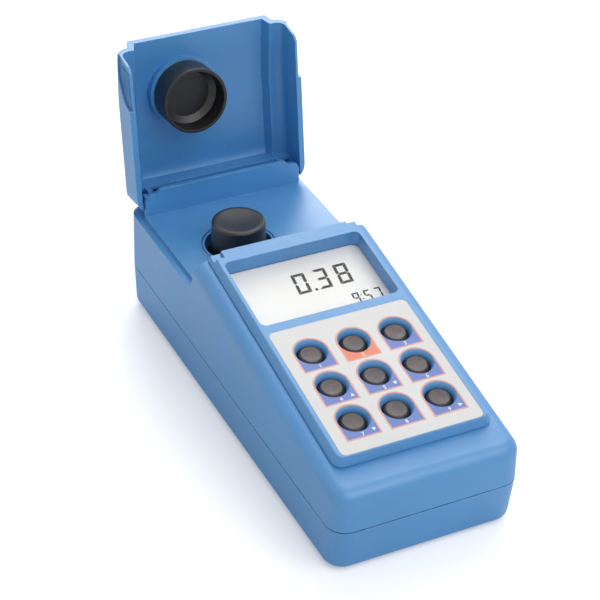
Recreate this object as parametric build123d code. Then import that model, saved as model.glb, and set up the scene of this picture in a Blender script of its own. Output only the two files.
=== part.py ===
from build123d import *
import math
import os

# A portable turbidity meter: a wedge-shaped two-shell case with nine recessed keys and a sunk
# display on its sloping panel, and a hinged cover over a vertical cuvette well behind them.
# Millimetres. While it is built, X runs left to right, Y from the front wall (0) to the rear wall
# and Z up from the surface the feet stand on. The last step moves the origin to the bottom centre
# of the whole instrument with its cover open.

# Case outline
case_width = 87.0
case_corner = 9.0
wall = 2.4
foot_stand = 1.0
parting_height = 22.8
parting_gap = 0.5
case_draft = 0.8
base_front_inset = 2.8
base_rear_inset = 0.8
base_side_inset = 0.4
base_edge = 4.0
case_bottom = foot_stand
half_width = case_width / 2

# Cuvette: its length sets how high the deck, the cover and the panel stand
cuvette_length = 56.4
cuvette_radius = 12.5
cuvette_glass = 1.4
cuvette_neck_radius = 10.2
cuvette_neck_length = 14.5
cuvette_gap = 0.8
seat_thick = 1.6
block_low = case_bottom + wall + cuvette_gap
cuvette_bottom = block_low + seat_thick + cuvette_gap
cuvette_top = cuvette_bottom + cuvette_length
cuvette_shoulder_height = cuvette_top - cuvette_neck_length

# Its cap, a little narrower at the top
cap_radius = 12.9
cap_top_radius = 12.35
cap_tall = 15.2
cap_crown = 2.0
cap_wall_clearance = 0.3
cap_dish_radius = 10.0
cap_dish_depth = 0.9
cap_edge = 1.3
liner_thick = 0.6
cap_top = cuvette_top + liner_thick + cap_crown
cap_low = cap_top - cap_tall

# Heights of the deck, its side ledges and the panel's front
glass_above_deck = 9.7
deck_step = 2.1
panel_below_deck = 7.2
deck_height = cuvette_top - glass_above_deck
ledge_height = deck_height - deck_step
panel_front_height = deck_height - panel_below_deck

# Sloping panel: a raised centre over a lower shoulder
panel_angle = 10.39
plateau_height = 5.0
plateau_half = 34.8
plateau_flare = 2.0
plateau_front = 13.9
plateau_corner = 3.0
plateau_edge = 0.7
shoulder_round = 6.2
rim_strip = 4.6
rim_strip_drop = 0.35
rim_notch_half = 30.6
rim_notch_drop = 2.0
slope = math.tan(math.radians(panel_angle))

# Keys and label, set out along the slope from the panel's front edge
key_pitch = 20.0
key_row_pitch = 20.15
key_first_row = 33.5
key_radius = 6.5
key_clearance = 0.3
key_sink = 1.9
key_dish = 0.3
key_edge = 1.2
key_travel = 0.7
key_flange = 0.9
key_flange_thick = 1.0
key_stem_radius = 2.0
bowl_radius = 8.5
bowl_depth = 3.2
bowl_boss_radius = 9.4
bowl_boss_low = 5.2
key_stop_gap = 0.05
label_half = 32.7
label_front = 16.4
label_behind_keys = 15.6
label_corner = 2.5
label_thick = 0.3
key_columns = (-key_pitch, 0.0, key_pitch)
key_rows = tuple(key_first_row + key_row_pitch * i for i in range(3))
label_rear = key_rows[-1] + label_behind_keys

# Display window behind the label, and the rim behind the window
window_half = 33.0
window_length = 41.8
window_corner = 3.0
window_depth = 7.4
window_seat = 1.0
pane_thick = 1.0
display_thick = 2.2
display_gap = 0.1
frame_wall = 1.6
window_behind_label = 4.8
rim_width = 7.86
window_front = label_rear + window_behind_label
window_rear = window_front + window_length
panel_length = window_rear + rim_width

# Deck under the cover and the rear screen wall
deck_front = panel_length * math.cos(math.radians(panel_angle))
deck_front_lean = 16.1
deck_half = 39.8
deck_root = 4.0
deck_length = 67.2
screen_thick = 2.0
screen_rise = 13.4
screen_shoulder_drop = 2.3
screen_centre_half = 32.0
screen_chamfer = 2.1
screen_half = 39.6
screen_corner = 3.0
screen_front = deck_front + deck_length
rear_overhang = 15.3
case_length = screen_front + rear_overhang
panel_rear_height = panel_front_height + slope * deck_front
upper_bottom = parting_height + parting_gap / 2
lower_top = parting_height - parting_gap / 2

# Cover and its hinge
lid_gap = 0.4
lid_under_gap = 0.3
lid_side_inset = 0.2
lid_wall = 2.6
lid_corner = 9.0
lid_above_deck = 22.9
lid_bend = 9.0
lid_lead = 12.0
lid_rear_round = 13.0
lid_open_angle = 97.4
lid_front_round = 4.5
hinge_behind_screen = 7.3
hinge_end_round = 6.5
lid_rear_drop = 4.0
lid_notch_rise = 4.0
hinge_pin_radius = 1.25
hinge_pin_clearance = 0.06
hinge_barrel = 3.0
hinge_arm_x = 34.0
hinge_arm_thick = 2.4
hinge_lug_thick = 2.4
hinge_side_gap = 0.35
trap_rib_gap = 1.5
trap_rib_thick = 1.8
trap_rib_rise = 5.6
hinge_y = screen_front + hinge_behind_screen
hinge_height = ledge_height + hinge_end_round + lid_under_gap
lid_rear = hinge_y + 5.0
lid_level_height = deck_height + lid_above_deck
lid_free_edge = ledge_height + lid_under_gap
trap_rib_front = screen_front + screen_thick + trap_rib_gap
trap_rib_low = hinge_height + trap_rib_rise

# Finger grips in the cover's side walls
grip_length = 22.0
grip_height = 13.0
grip_depth = 1.5
grip_rib_pitch = 1.7
grip_rib_width = 0.6
grip_rib_depth = 0.6
grip_rib_count = 6
grip_rib_start = 3.0

# Light-shield cup in the cover, which stands over the cap when the cover is shut
cup_radius = 15.8
cup_wall = 1.5
cup_above_deck = 2.4
cup_tall = 13.2
cup_floor_radius = 11.3
cup_straight = 9.8
cup_bore_depth = 11.8
cup_mouth_round = 0.5
cup_boss_radius = 17.4
cup_spigot_radius = 6.0
cup_spigot_tall = 1.4
cup_spigot_clearance = 0.1
cup_low = deck_height + cup_above_deck
cup_base = cup_low + cup_tall

# Well in the deck
well_x = -9.0
well_behind_rim = 29.5
well_radius = 15.6
well_collar_wall = 1.2
well_groove = 0.5
well_groove_depth = 1.0
well_mouth_round = 0.4
collar_flange_thick = 2.2
well_y = deck_front + well_behind_rim

# Optics around the cuvette
block_half = 20.0
block_corner = 5.0
block_clearance = 0.35
block_mouth = 6.0
block_under_ceiling = 1.8
block_top = ledge_height - wall - block_under_ceiling
light_height = 27.0
light_bore = 4.0
lamp_radius = 2.9
lamp_length = 11.0
lamp_base_radius = 4.6
lamp_flange = 2.0
lens_radius = 3.9
lens_thick = 2.4
lens_ball = 8.0
detector_radius = 3.8
detector_length = 6.0
detector_flange = 1.2
detector_leg_radius = 0.35
detector_leg_length = 5.0
detector_leg_half_pitch = 1.3

# Main board
board_depth = 13.2
board_thick = 1.6
board_half = 35.0
board_front = 17.0
board_rear = window_rear + 2.0
dome_radius = 4.6
dome_height = 0.9
board_post_radius = 3.0
board_post_root = 2.0
board_screw_radius = 1.1
board_screw_head = 2.2
board_screw_head_thick = 1.4
board_screw_length = 5.4
board_screw_x = 31.5
board_screw_rows = (label_front + 5.6, label_rear - 0.9)
# Each part on the board's back: across, along, width, length, height
board_chips = [
    (0, 60, 14, 14, 1.6),
    (-18, 76, 10, 6, 1.4),
    (18, 44, 8, 12, 1.4),
    (12, 112, 16, 10, 2.4),
    (-16, 114, 8, 8, 3.0),
    (-22, 36, 5, 9, 2.0),
]

# Batteries and the base
cell_radius = 7.25
cell_length = 50.5
cell_pitch = 14.8
cell_count = 4
cell_nub_radius = 2.7
cell_nub = 1.2
cell_edge = 0.6
bay_front = 52.0
bay_clearance = 0.5
spring_space = 5.0
spring_radius = 3.2
spring_wire = 0.45
spring_pitch = 1.6
plate_thick = 0.5
plate_tall = 10.0
plate_side = 4.5
bay_wall = 1.5
bay_lip = 1.0
cover_thick = 2.0
cover_clearance = 0.3
cover_edge = 0.4
cover_grip_pitch = 1.6
cover_grip_count = 7
cover_grip_half = 10.0
cover_grip_depth = 0.5
foot_radius = 5.0
foot_recess = 0.8
foot_edge = 0.4
foot_inset_x = 18.4
foot_inset_y = 14.0
case_screw_radius = 1.5
case_screw_head = 2.8
case_screw_head_thick = 1.8
case_screw_sink = 2.0
case_screw_length = 24.0
case_screw_pilot = 11.0
post_gap = 0.5
case_post_radius = 3.6
case_post_inset_x = 8.4
case_post_rows = (9.5, deck_front + 5.0, case_length - 11.5)
gasket_width = 1.4
gasket_inset = 0.7
bay_half = cell_count * cell_pitch / 2 + bay_clearance
bay_length = cell_length + cell_nub + spring_space + 2 * plate_thick
bay_rear = bay_front + bay_length
cell_height = case_bottom + cover_thick + cover_clearance + cell_radius + 0.3
bay_top = cell_height + cell_radius + bay_clearance

# Rear sockets
socket_height = 12.5
socket_sink = 1.2
socket_flange = 1.2
socket_clearance = 0.15
jack_x = 22.0
jack_radius = 4.6
jack_bore = 3.1
jack_bore_depth = 9.0
jack_pin = 1.0
jack_pin_length = 8.0
jack_length = 12.0
port_x = -16.0
port_width = 15.0
port_tall = 8.0
port_length = 12.0
port_depth = 8.0
port_wall = 0.9
port_tongue = 2.4
port_tongue_length = 7.0
port_tongue_side = 2.5

# Height and reach of shapes that only cut, well clear of the instrument
high = lid_level_height + 44.0
clear = 60.0


def panel_plane(raise_by=0.0):
    """The panel's own plane: x across, y up the slope, z out of the panel."""
    tilt = math.radians(panel_angle)
    up = Vector(0, -math.sin(tilt), math.cos(tilt))
    return Plane(origin=Vector(0, 0, panel_front_height) + up * raise_by, x_dir=(1, 0, 0), z_dir=up)


def on_panel(shape, x, v, raise_by=0.0):
    """A shape built about its own origin, placed on the panel."""
    return panel_plane(raise_by) * (Pos(x, v, 0) * shape)


def side_prism(points, half):
    """A side view of (y, z) points, closed and pulled out to both sides."""
    outline = make_face(Polyline(*[(0, y, z) for y, z in points], close=True))
    return extrude(outline, half, dir=(1, 0, 0), both=True)


def box_between(low, high_corner):
    size = [high_corner[i] - low[i] for i in range(3)]
    middle = [(high_corner[i] + low[i]) / 2 for i in range(3)]
    return Pos(*middle) * Box(*size)


def hollow_of_ball(radius, depth):
    """A ball that cuts a shallow dish of this radius and depth into a top at height 0."""
    ball = (radius ** 2 + depth ** 2) / (2 * depth)
    return Pos(0, 0, ball - depth) * Sphere(ball)


def deck_front_at(height, behind=0.0):
    """Where the leaning rear end of the panel stands at a height."""
    lean = math.tan(math.radians(deck_front_lean))
    return deck_front + behind + (panel_rear_height - height) * lean


def upper_block(inset, drop):
    """The upper shell's outside, or its inside when inset and lowered, before the deck is cut."""
    plan = Pos(0, case_length / 2, upper_bottom) * RectangleRounded(
        case_width - 2 * inset, case_length - 2 * inset, case_corner - inset
    )
    block = extrude(plan, high - upper_bottom, taper=case_draft)
    shoulder = panel_front_height - (plateau_height + drop) / math.cos(math.radians(panel_angle))
    rear = case_length + clear
    over = [
        (-clear, shoulder - clear * slope),
        (rear, shoulder + rear * slope),
        (rear, high + clear),
        (-clear, high + clear),
    ]
    block -= side_prism(over, case_width)
    top = block.faces().sort_by(Axis.Z)[-1]
    side = [e for e in top.edges() if e.center().Y > case_length * 0.2 and abs(e.center().X) > half_width * 0.6]
    front = [e for e in top.edges() if e.center().Y < case_length * 0.2]
    radius = shoulder_round - inset
    return fillet(ShapeList(side + front), radius) if radius > 0.5 else block


def plateau(half, height, front, corner):
    """The panel's raised centre, flared towards its foot."""
    rear = case_length
    foot = half + plateau_flare
    face = Pos(0, (front + rear) / 2) * RectangleRounded(2 * foot, rear - front, corner + plateau_flare)
    taper = math.degrees(math.atan(plateau_flare / plateau_height))
    return extrude(panel_plane(height - plateau_height) * face, plateau_height, taper=taper)


def window_opening(grow, depth_from, depth_to):
    """A box with the display window's outline, between two depths under the panel."""
    face = RectangleRounded(2 * (window_half + grow), window_length + 2 * grow, window_corner + grow)
    middle = (window_front + window_rear) / 2
    return extrude(on_panel(face, 0, middle, -depth_to), depth_to - depth_from)


def key_places():
    return [(x, v) for v in reversed(key_rows) for x in key_columns]


def behind_panel(ahead, low):
    """Everything behind the panel's leaning rear end and above a height."""
    back = case_length + clear
    return side_prism(
        [
            (deck_front_at(ledge_height) - ahead, low),
            (deck_front_at(high) - ahead, high),
            (back, high),
            (back, low),
        ],
        case_width,
    )


def make_upper_case():
    shell = upper_block(0, 0)
    centre = plateau(plateau_half, 0, plateau_front, plateau_corner)
    top = centre.faces().sort_by(lambda f: f.center().Z)[-1]
    shell += fillet(top.edges(), plateau_edge)
    # The back is cut away down to the ledges, then gets the deck and the screen wall
    shell -= behind_panel(0, ledge_height)
    deck_start = deck_front_at(ledge_height) - deck_root
    shell += box_between(
        (-deck_half, deck_start, ledge_height - wall),
        (deck_half, screen_front + screen_thick, deck_height),
    )
    shell += make_screen_wall()
    # Rear strip of the rim, a little lower, with a notch at each end
    tall = 2 * plateau_height
    strip = Pos(0, 0, tall / 2 - rim_strip_drop) * Box(2 * case_width, rim_strip * 2, tall)
    shell -= on_panel(strip, 0, panel_length)
    for side in (-1, 1):
        notch = Pos(0, 0, tall / 2 - rim_notch_drop) * Box(case_width, rim_strip * 2, tall)
        shell -= on_panel(notch, side * (rim_notch_half + case_width / 2), panel_length)
    # Hollow inside
    inner = upper_block(wall, wall)
    inner += plateau(plateau_half - wall, -wall, plateau_front + wall, plateau_corner - 1)
    inner -= behind_panel(wall + 1, ledge_height - wall)
    shell -= inner
    # Key bowls, the window's sunk frame and the board's posts
    boss_tall = bowl_boss_low - 1
    boss = Pos(0, 0, boss_tall / 2 - bowl_boss_low) * Cylinder(bowl_boss_radius, boss_tall)
    shell += [on_panel(boss, x, v) for x, v in key_places()]
    pocket_low = window_depth + pane_thick + display_thick + display_gap
    shell += window_opening(frame_wall, 1, pocket_low) - window_opening(-0.01, 0, pocket_low + 1)
    shell -= window_opening(0, -plateau_height, window_depth + 1)
    shell -= window_opening(window_seat, window_depth, pocket_low + 1)
    bowl = Pos(0, 0, -bowl_depth / 2) * Cone(key_radius + key_clearance, bowl_radius, bowl_depth)
    bore = Pos(0, 0, -bowl_boss_low) * Cylinder(key_radius + key_clearance, 2 * bowl_boss_low)
    above = Pos(0, 0, plateau_height / 2) * Cylinder(bowl_radius, plateau_height)
    for x, v in key_places():
        shell -= on_panel(bowl + bore + above, x, v)
    length = label_rear - label_front
    label = RectangleRounded(2 * label_half + 0.2, length + 0.2, label_corner)
    shell -= extrude(on_panel(label, 0, (label_front + label_rear) / 2, -label_thick), plateau_height)
    screw_tip = board_depth + board_thick - board_screw_length - board_screw_radius
    post_tall = board_depth - board_post_root
    post = Pos(0, 0, post_tall / 2 - board_depth) * Cylinder(board_post_radius, post_tall)
    hole_tall = board_depth + 1 - screw_tip
    hole = Pos(0, 0, hole_tall / 2 - board_depth - 1) * Cylinder(board_screw_radius, hole_tall)
    for x, v in board_posts():
        shell += on_panel(post, x, v)
        shell -= on_panel(hole, x, v)
    # Cuvette well through the deck
    shell -= Pos(well_x, well_y, deck_height) * Cylinder(collar_outer(), clear)
    # Posts for the case screws
    for x, y in case_posts():
        under_panel = panel_front_height + slope * y - plateau_height - 1
        ceiling = ledge_height - 1 if y > deck_front else under_panel
        low = upper_bottom + post_gap
        shell += Pos(x, y, (ceiling + low) / 2) * Cylinder(case_post_radius, ceiling - low)
        shell -= Pos(x, y, upper_bottom) * Cylinder(case_screw_radius, 2 * case_screw_pilot)
    return shell - make_socket_cuts()


def collar_outer():
    return well_radius + well_collar_wall + well_groove


def board_posts():
    return [(side * board_screw_x, v) for v in board_screw_rows for side in (-1, 1)]


def case_posts():
    x = half_width - case_post_inset_x
    return [(side * x, y) for y in case_post_rows for side in (-1, 1)]


def screen_outline():
    """The rear screen wall's outline, which follows the cover's inside, as (x, z) points."""
    top = deck_height + screen_rise
    shoulder = top - screen_shoulder_drop
    corner = screen_corner * 0.3
    right = [
        (screen_centre_half, top),
        (screen_centre_half + screen_chamfer, shoulder),
        (screen_half - screen_corner, shoulder),
        (screen_half - corner, shoulder - corner),
        (screen_half, shoulder - screen_corner),
        (screen_half, ledge_height - 1),
    ]
    return right + [(-x, z) for x, z in reversed(right)]


def make_screen_wall():
    """Upright wall behind the deck, with the hinge lugs on its back."""
    points = [(x, screen_front, z) for x, z in screen_outline()]
    wall_solid = extrude(make_face(Polyline(*points, close=True)), screen_thick, dir=(0, 1, 0))
    for x in lug_places():
        wall_solid += hinge_lug(x)
    return wall_solid - hinge_rod(0, hinge_pin_radius, case_width)


def hinge_rod(x, radius, length):
    """A round bar on the hinge axis, its middle at x."""
    return Pos(x, hinge_y, hinge_height) * Rot(0, 90, 0) * Cylinder(radius, length)


def lug_places():
    """Middles of the two lugs that hold each hinge pin, either side of a cover arm."""
    away = hinge_arm_thick / 2 + hinge_side_gap + hinge_lug_thick / 2
    return [side * hinge_arm_x + step for side in (-1, 1) for step in (-away, away)]


def hinge_lug(x):
    lug = box_between(
        (x - hinge_lug_thick / 2, screen_front + screen_thick / 2, ledge_height - 1),
        (x + hinge_lug_thick / 2, hinge_y + hinge_barrel, hinge_height),
    )
    return lug + hinge_rod(x, hinge_barrel, hinge_lug_thick)


def lid_path(drop, inset):
    """Side view of the cover's top, lowered by drop, from in front of the deck to the rear face."""
    level = lid_level_height - drop
    rear = lid_rear - inset
    tilt = math.radians(panel_angle)
    meet_y = deck_front + (lid_level_height - panel_rear_height) / slope
    meet_y += drop * math.tan(tilt / 2)
    start_y = deck_front - lid_lead
    start_z = level - (meet_y - start_y) * slope
    arc_start = (meet_y - lid_bend * math.cos(tilt), level - lid_bend * math.sin(tilt))
    arc_end = (meet_y + lid_bend, level)
    radius = lid_rear_round - drop
    rise = Line((0, start_y, start_z), (0, *arc_start))
    bend = TangentArc((0, *arc_start), (0, *arc_end), tangent=(0, math.cos(tilt), math.sin(tilt)))
    flat = Line((0, *arc_end), (0, rear - radius, level))
    turn = TangentArc((0, rear - radius, level), (0, rear, level - radius), tangent=(0, 1, 0))
    edges = [*rise.edges(), *bend.edges(), *flat.edges(), *turn.edges()]
    return edges, (start_y, start_z), (rear, level - radius)


def lid_side_view(drop, inset, low):
    """The filled side view under the cover's top line."""
    edges, start, end = lid_path(drop, inset)
    closing = Polyline((0, *end), (0, end[0], low), (0, start[0], low), (0, *start))
    return make_face(Wire([*edges, *closing.edges()]))


def lid_shape(inset):
    """The cover's outside, or its inside when inset: shoulder body plus raised centre."""
    low = ledge_height - 10
    half = half_width - lid_side_inset - inset
    body = extrude(lid_side_view(plateau_height + inset, inset, low), half, dir=(1, 0, 0), both=True)
    crown = [e for e in body.edges()
             if abs(abs(e.center().X) - half) < 0.01 and e.center().Z > ledge_height + 8
             and abs(e.center().Y - deck_front + lid_lead) > 1]
    body = fillet(ShapeList(crown), shoulder_round - inset)
    front = deck_front - 2 * lid_lead
    rear = lid_rear - inset
    plan = Pos(0, (front + rear) / 2, low) * RectangleRounded(2 * half, rear - front, lid_corner - inset)
    body &= extrude(plan, high)
    edges, start, end = lid_path(inset, inset)
    tilt = math.radians(panel_angle)
    along = Vector(0, math.cos(tilt), math.sin(tilt))
    start_plane = Plane(origin=(0, *start), x_dir=(1, 0, 0), z_dir=along)
    top = plateau_half - inset
    foot = top + plateau_flare
    deep = plateau_height + 1
    outline = [(-foot, deep), (-foot, plateau_height), (-top, 0), (top, 0), (foot, plateau_height), (foot, deep)]
    sign = 1 if start_plane.y_dir.Z < 0 else -1
    face = start_plane * make_face(Polyline(*[(x, sign * d) for x, d in outline], close=True))
    return body + sweep(face, path=Wire(edges))


def lid_front_cut():
    """Everything in front of the cover's leaning front face."""
    low = ledge_height - clear
    return side_prism(
        [
            (deck_front_at(low, lid_gap), low),
            (deck_front_at(high, lid_gap), high),
            (deck_front_at(high, lid_gap) - clear, high),
            (deck_front_at(low, lid_gap) - clear, low),
        ],
        case_width,
    )


def make_lid_closed():
    lid = lid_shape(0)
    lid -= lid_shape(lid_wall)
    # Level free edge along the ledges, with a rounded corner under the leaning front face
    back = lid_rear + clear
    low = ledge_height - clear
    lid -= box_between((-case_width, 0, low), (case_width, back, lid_free_edge))
    lid -= lid_front_cut()
    front = deck_front_at(lid_free_edge, lid_gap)
    corners = [e for e in lid.edges()
               if abs(e.center().Y - front) < 0.01 and abs(e.center().Z - lid_free_edge) < 0.01]
    lid = fillet(ShapeList(corners), lid_front_round)
    # Rear lower end: a round about the hinge, and room for the lugs
    rear_low = hinge_height - lid_rear_drop
    corner = box_between((-case_width, hinge_y, low), (case_width, back, hinge_height))
    keep_rear = box_between((-case_width, hinge_y, rear_low), (case_width, back, hinge_height + 1))
    lid -= corner - hinge_rod(0, hinge_end_round, 2 * case_width) - keep_rear
    inner = half_width - lid_side_inset - lid_wall
    lid -= box_between((-inner, hinge_y - 4, low), (inner, back, rear_low))
    notch = hinge_lug_thick / 2 + hinge_side_gap
    for x in lug_places():
        lid -= box_between((x - notch, hinge_y - 2, low), (x + notch, back, hinge_height + lid_notch_rise))
    # Light-trap rib behind the screen wall, and the two hinge arms
    inside = lid_shape(lid_wall - 0.2)
    rib = box_between(
        (-half_width, trap_rib_front, trap_rib_low),
        (half_width, trap_rib_front + trap_rib_thick, high),
    )
    lid += rib & inside
    for side in (-1, 1):
        x = side * hinge_arm_x
        arm = box_between(
            (x - hinge_arm_thick / 2, trap_rib_front, hinge_height),
            (x + hinge_arm_thick / 2, hinge_y + hinge_barrel, high),
        )
        lid += (arm & inside) + hinge_rod(x, hinge_barrel, hinge_arm_thick)
    lid -= hinge_rod(0, hinge_pin_radius + hinge_pin_clearance, 2 * hinge_arm_x + 8)
    # Boss that carries the light-shield cup
    boss_top = lid_level_height - lid_wall + 0.5
    lid += Pos(well_x, well_y, (boss_top + cup_base) / 2) * Cylinder(cup_boss_radius, boss_top - cup_base)
    spigot_hole = Cylinder(cup_spigot_radius + cup_spigot_clearance, 2 * cup_spigot_tall)
    lid -= Pos(well_x, well_y, cup_base) * spigot_hole
    for side in (-1, 1):
        lid = cut_grip(lid, side)
    return lid


def cut_grip(lid, side):
    """Finger grip: a shallow scoop at the front of a side wall, with fine ribs standing on its floor."""
    face_x = half_width - lid_side_inset
    front = deck_front_at(ledge_height, lid_gap)
    face = Plane(origin=(side * face_x, front - 2, ledge_height), x_dir=(0, 1, 0), z_dir=(side, 0, 0))
    scoop = extrude(face * Ellipse(grip_length, grip_height), grip_depth, both=True)
    within = extrude(face * Ellipse(grip_length - 1, grip_height - 0.6), grip_depth, both=True)
    for i in range(grip_rib_count):
        z = ledge_height + grip_height * 0.2 + grip_rib_pitch * i
        start = deck_front_at(z, lid_gap) + grip_rib_start
        rib = box_between(
            (-grip_rib_depth / 2, start, z - grip_rib_width / 2),
            (grip_rib_depth / 2, start + grip_length, z + grip_rib_width / 2),
        )
        floor_x = side * (face_x - grip_depth + grip_rib_depth / 2)
        scoop -= (Pos(floor_x, 0, 0) * rib) & within
    return lid - scoop


def open_lid(shape):
    """Swing a piece of the closed cover back to its stop."""
    axis = Axis((0, hinge_y, hinge_height), (1, 0, 0))
    return shape.rotate(axis, -lid_open_angle)


def make_cup_closed():
    """Black cup with a straight bore and a short taper to its floor, on a spigot in the cover."""
    at_well = Pos(well_x, well_y, cup_low)
    body = Pos(0, 0, cup_tall / 2) * Cylinder(cup_radius, cup_tall)
    rim = body.edges().filter_by(GeomType.CIRCLE).sort_by(Axis.Z)[0]
    body = fillet(rim, cup_mouth_round)
    bore = cup_radius - cup_wall
    body -= Pos(0, 0, cup_straight / 2) * Cylinder(bore, cup_straight)
    taper_tall = cup_bore_depth - cup_straight
    body -= Pos(0, 0, cup_straight + taper_tall / 2) * Cone(bore, cup_floor_radius, taper_tall)
    spigot = Cylinder(cup_spigot_radius, cup_spigot_tall)
    return at_well * (body + Pos(0, 0, cup_tall + cup_spigot_tall / 2 - 0.1) * spigot)


def make_hinge_pins():
    length = hinge_arm_thick + 2 * hinge_side_gap + 2 * hinge_lug_thick
    pins = [hinge_rod(side * hinge_arm_x, hinge_pin_radius, length) for side in (-1, 1)]
    return Compound(children=pins)


def lower_block(inset, bottom, top):
    """The lower shell's outside, or its inside when inset."""
    front_low = base_front_inset + inset
    rear_low = case_length - base_rear_inset - inset
    width = case_width - 2 * inset
    low = Pos(0, (front_low + rear_low) / 2, bottom) * RectangleRounded(
        width - 2 * base_side_inset, rear_low - front_low, case_corner - inset)
    high_face = Pos(0, case_length / 2, top) * RectangleRounded(
        width, case_length - 2 * inset, case_corner - inset)
    block = loft([low, high_face], ruled=True)
    edge = block.faces().sort_by(Axis.Z)[0].edges()
    return fillet(edge, base_edge - inset / 2)


def make_lower_case():
    shell = lower_block(0, case_bottom, lower_top)
    shell -= lower_block(wall, case_bottom + wall, lower_top + 1)
    # Battery bay: walls and a roof over the cells, open downwards for its cover
    shell += box_between(
        (-bay_half - bay_wall, bay_front - bay_wall, case_bottom + cover_edge),
        (bay_half + bay_wall, bay_rear + bay_wall, bay_top + bay_wall),
    )
    shell -= box_between((-bay_half, bay_front, case_bottom - 1), (bay_half, bay_rear, bay_top))
    shell -= box_between(
        (-bay_half - bay_lip, bay_front - bay_lip, case_bottom - 1),
        (bay_half + bay_lip, bay_rear + bay_lip, case_bottom + cover_thick + cover_clearance),
    )
    floor = case_bottom + wall
    for x, y in case_posts():
        low = floor - 1
        shell += Pos(x, y, (low + lower_top) / 2) * Cylinder(case_post_radius, lower_top - low)
        shell -= Pos(x, y, floor) * Cylinder(case_screw_radius + 0.2, clear)
        shell -= Pos(x, y, case_bottom) * Cylinder(case_screw_head + 0.3, 2 * screw_recess())
    for x, y in foot_places():
        shell -= Pos(x, y, case_bottom) * Cylinder(foot_radius + 0.1, 2 * foot_recess)
    return shell - make_socket_cuts()


def screw_recess():
    return case_screw_head_thick + case_screw_sink


def foot_places():
    x = half_width - foot_inset_x
    return [(side * x, y) for y in (foot_inset_y, case_length - foot_inset_y) for side in (-1, 1)]


def make_battery_cover():
    """Flat cover in the base, with shallow grooves for a thumb at its front end."""
    gap = cover_clearance
    plate = box_between(
        (-bay_half - bay_lip + gap, bay_front - bay_lip + gap, case_bottom),
        (bay_half + bay_lip - gap, bay_rear + bay_lip - gap, case_bottom + cover_thick),
    )
    plate = chamfer(plate.faces().sort_by(Axis.Z)[0].edges(), cover_edge)
    for i in range(cover_grip_count):
        y = bay_front + spring_space + cover_grip_pitch * i
        plate -= box_between(
            (-cover_grip_half, y, case_bottom - 1),
            (cover_grip_half, y + cover_grip_pitch / 2, case_bottom + cover_grip_depth),
        )
    return plate


def cell_places():
    first = -(cell_count - 1) / 2 * cell_pitch
    return [first + cell_pitch * i for i in range(cell_count)]


def make_cell(x, flip):
    """One AA cell lying along Y, its nub at one end."""
    can = Rot(-90, 0, 0) * Cylinder(cell_radius, cell_length)
    can = fillet(can.edges().filter_by(GeomType.CIRCLE), cell_edge)
    nub = Pos(0, (cell_length + cell_nub) / 2, 0) * Rot(-90, 0, 0) * Cylinder(cell_nub_radius, cell_nub)
    cell = can + nub
    if flip:
        cell = Rot(0, 0, 180) * cell
    return Pos(x, cell_middle(flip), cell_height) * cell


def cell_middle(flip):
    spring_first = bay_front + plate_thick + spring_space + cell_length / 2
    nub_first = bay_front + plate_thick + cell_nub + cell_length / 2
    return nub_first if flip else spring_first


def make_contact_plates():
    plates = []
    for y in (bay_front + plate_thick / 2, bay_rear - plate_thick / 2):
        for first in range(0, cell_count, 2):
            middle = sum(cell_places()[first:first + 2]) / 2
            plate = Box(cell_pitch + 2 * plate_side, plate_thick, plate_tall)
            plates.append(Pos(middle, y, cell_height) * plate)
    return Compound(children=plates)


def make_contact_springs():
    springs = []
    for i, x in enumerate(cell_places()):
        flip = i % 2 == 1
        start = bay_rear - plate_thick - spring_space if flip else bay_front + plate_thick
        helix = Helix(pitch=spring_pitch, height=spring_space - 2 * spring_wire, radius=spring_radius)
        ring = Plane(origin=helix @ 0, z_dir=helix % 0) * Circle(spring_wire)
        coil = sweep(ring, path=helix)
        springs.append(Pos(x, start + spring_wire, cell_height) * Rot(-90, 0, 0) * coil)
    return Compound(children=springs)


def make_feet():
    tall = foot_stand + foot_recess
    foot = Cylinder(foot_radius, tall)
    foot = fillet(foot.edges().sort_by(Axis.Z)[0], foot_edge)
    return Compound(children=[Pos(x, y, tall / 2) * foot for x, y in foot_places()])


def cross_slot(width, depth):
    return Box(width, 0.5, depth * 2) + Box(0.5, width, depth * 2)


def make_screw(radius, head_radius, head_thick, length):
    """A screw pointing down from the origin, its head above."""
    head = Pos(0, 0, head_thick / 2) * Cylinder(head_radius, head_thick)
    head = fillet(head.edges().sort_by(Axis.Z)[-1], head_thick * 0.35)
    shank = Pos(0, 0, -length / 2) * Cylinder(radius, length)
    tip = Pos(0, 0, -length - radius / 2) * Cone(0.2, radius, radius)
    return head + shank + tip - Pos(0, 0, head_thick) * cross_slot(head_radius * 1.3, head_thick * 0.5)


def make_case_screws():
    screw = make_screw(case_screw_radius, case_screw_head, case_screw_head_thick, case_screw_length)
    upward = Rot(180, 0, 0) * screw
    z = case_bottom + screw_recess()
    return Compound(children=[Pos(x, y, z) * upward for x, y in case_posts()])


def make_gasket():
    inset = gasket_inset + gasket_width
    middle = Pos(0, case_length / 2, lower_top)
    outer = RectangleRounded(
        case_width - 2 * gasket_inset, case_length - 2 * gasket_inset, case_corner - gasket_inset)
    inner = RectangleRounded(case_width - 2 * inset, case_length - 2 * inset, case_corner - inset)
    return middle * extrude(outer - inner, parting_gap)


def make_label():
    sheet = RectangleRounded(2 * label_half, label_rear - label_front, label_corner)
    middle = (label_front + label_rear) / 2
    for x, v in key_places():
        sheet -= Pos(x, v - middle) * Circle(bowl_radius + 0.1)
    return extrude(on_panel(sheet, 0, middle, -label_thick), label_thick)


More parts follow.
